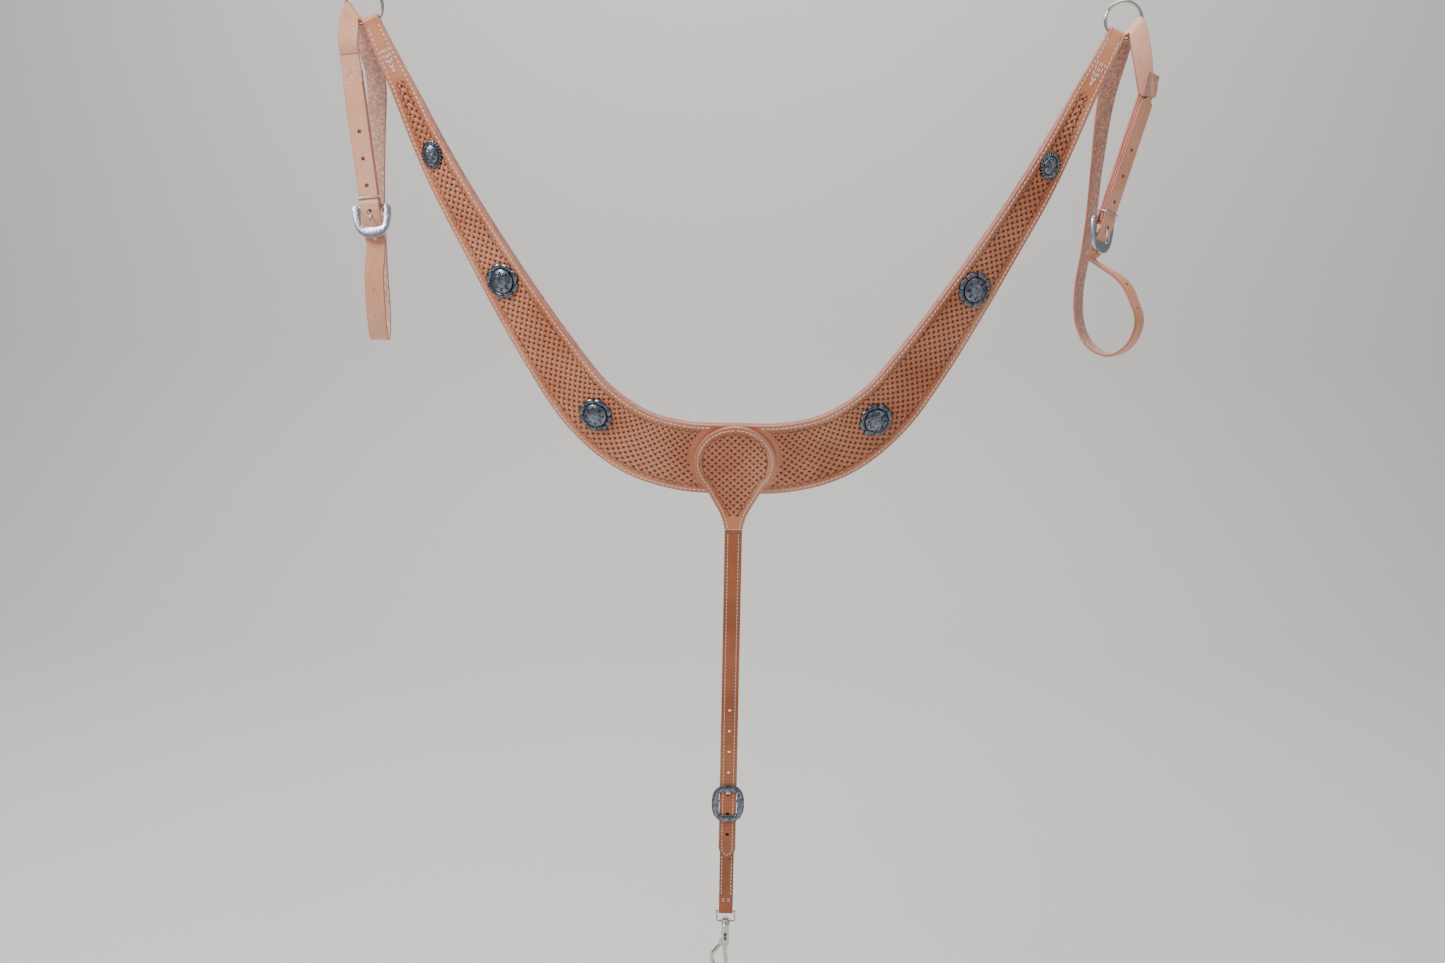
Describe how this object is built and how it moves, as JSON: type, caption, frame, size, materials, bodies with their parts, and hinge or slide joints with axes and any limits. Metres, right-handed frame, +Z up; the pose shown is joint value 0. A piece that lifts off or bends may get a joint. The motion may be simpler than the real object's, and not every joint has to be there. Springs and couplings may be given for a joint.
{
  "type": "breastplate",
  "caption": "Western leather breast collar with end rings, buckled tug straps, domed silver conchos and a buckled drop strap ending in a swivel bolt snap.",
  "frame": {"origin": "midway between the two points that the rings hang from, level with the inside top of the ring wire", "axes": "+X to the viewer's right as the tooled side is seen, +Z up, the tooled side faces -Y"},
  "size_m": [0.8304, 0.0783, 1.079],
  "materials": {
    "tooled_leather": "russet tooled strap leather, semi-matt",
    "lining_leather": "smooth skirting lining, matt",
    "tug_leather": "pale smooth harness leather",
    "antiqued_silver": "engraved plate with black antiquing",
    "bright_silver": "bright engraved plate",
    "nickel": "bright nickel plate"
  },
  "bodies": {
    "collar": {"collar_face": "tooled_leather", "collar_lining": "lining_leather", "drop_head_face": "tooled_leather", "drop_head_lining": "lining_leather", "concho_left_upper": "antiqued_silver", "concho_left_middle": "antiqued_silver", "concho_left_lower": "antiqued_silver", "concho_right_upper": "antiqued_silver", "concho_right_middle": "antiqued_silver", "concho_right_lower": "antiqued_silver", "concho_screw_left_upper": "nickel", "concho_screw_left_middle": "nickel", "concho_screw_left_lower": "nickel", "concho_screw_right_upper": "nickel", "concho_screw_right_middle": "nickel", "concho_screw_right_lower": "nickel"},
    "ring_left": {"ring_left": "nickel"},
    "tug_left": {"tug_strap_left": "tug_leather", "tug_buckle_left": "bright_silver"},
    "tug_tongue_left": {"tug_tongue_left": "bright_silver"},
    "tug_keeper_left": {"tug_keeper_left": "nickel"},
    "ring_right": {"ring_right": "nickel"},
    "tug_right": {"tug_strap_right": "tug_leather", "tug_buckle_right": "bright_silver"},
    "tug_tongue_right": {"tug_tongue_right": "bright_silver"},
    "tug_keeper_right": {"tug_keeper_right": "nickel"},
    "drop_strap": {"drop_strap_face": "tooled_leather", "drop_strap_lining": "lining_leather", "drop_buckle": "antiqued_silver"},
    "drop_tongue": {"drop_tongue": "antiqued_silver"},
    "snap_strap": {"snap_strap": "tooled_leather"},
    "snap_eye": {"snap_eye": "nickel"},
    "snap_hook": {"snap_hook": "nickel", "snap_spring": "nickel"},
    "snap_bolt": {"snap_bolt": "nickel", "snap_thumb_stud": "nickel"}
  },
  "joints": [
    {"name": "ring_left_turn", "type": "hinge", "parent": "collar", "child": "ring_left", "pos_m": [-0.38413, 0, -0.017], "axis": [0, 1, 0], "range_deg": [0, 35]},
    {"name": "tug_left_swing", "type": "hinge", "parent": "ring_left", "child": "tug_left", "pos_m": [-0.39431, 0, -0.02266], "axis": [1, 0, 0], "range_deg": [-8, 25]},
    {"name": "tug_tongue_left_hinge", "type": "hinge", "parent": "tug_left", "child": "tug_tongue_left", "pos_m": [-0.38063, -0.007, -0.216], "axis": [0.9935, 0, 0.1142], "range_deg": [-1, 2]},
    {"name": "tug_keeper_left_slide", "type": "slide", "parent": "tug_left", "child": "tug_keeper_left", "axis": [-0.1142, 0, 0.9935], "range_m": [0, 0.09]},
    {"name": "ring_right_turn", "type": "hinge", "parent": "collar", "child": "ring_right", "pos_m": [0.38413, 0, -0.017], "axis": [0, 1, 0], "range_deg": [-35, 0]},
    {"name": "tug_right_swing", "type": "hinge", "parent": "ring_right", "child": "tug_right", "pos_m": [0.39431, 0, -0.02266], "axis": [1, 0, 0], "range_deg": [-8, 25]},
    {"name": "tug_tongue_right_hinge", "type": "hinge", "parent": "tug_right", "child": "tug_tongue_right", "pos_m": [0.37463, -0.0085, -0.217], "axis": [0.7287, 0.656, -0.1967], "range_deg": [-1, 2]},
    {"name": "tug_keeper_right_slide", "type": "slide", "parent": "tug_right", "child": "tug_keeper_right", "axis": [0.2607, 0, 0.9654], "range_m": [0, 0.09]},
    {"name": "drop_strap_swing", "type": "hinge", "parent": "collar", "child": "drop_strap", "pos_m": [0, 0.01532, -0.55489], "axis": [1, 0, 0], "range_deg": [-75, 75]},
    {"name": "drop_tongue_hinge", "type": "hinge", "parent": "drop_strap", "child": "drop_tongue", "pos_m": [0, 0.01942, -0.86924], "axis": [1, 0, 0], "range_deg": [0, 2]},
    {"name": "snap_strap_swing", "type": "hinge", "parent": "drop_strap", "child": "snap_strap", "pos_m": [0, 0.01942, -0.86924], "axis": [1, 0, 0], "range_deg": [0, 60]},
    {"name": "snap_eye_swing", "type": "hinge", "parent": "snap_strap", "child": "snap_eye", "pos_m": [0, 0.01942, -1.00284], "axis": [1, 0, 0], "range_deg": [-75, 75]},
    {"name": "snap_swivel", "type": "hinge", "parent": "snap_eye", "child": "snap_hook", "pos_m": [0, 0.01942, -1.01534], "axis": [0, 0, 1], "continuous": true},
    {"name": "snap_bolt_slide", "type": "slide", "parent": "snap_hook", "child": "snap_bolt", "axis": [0, 0, 1], "range_m": [0, 0.008], "stiffness_N_per_m": 150, "springref_m": -0.004, "deforming": ["snap_spring"]}
  ]
}
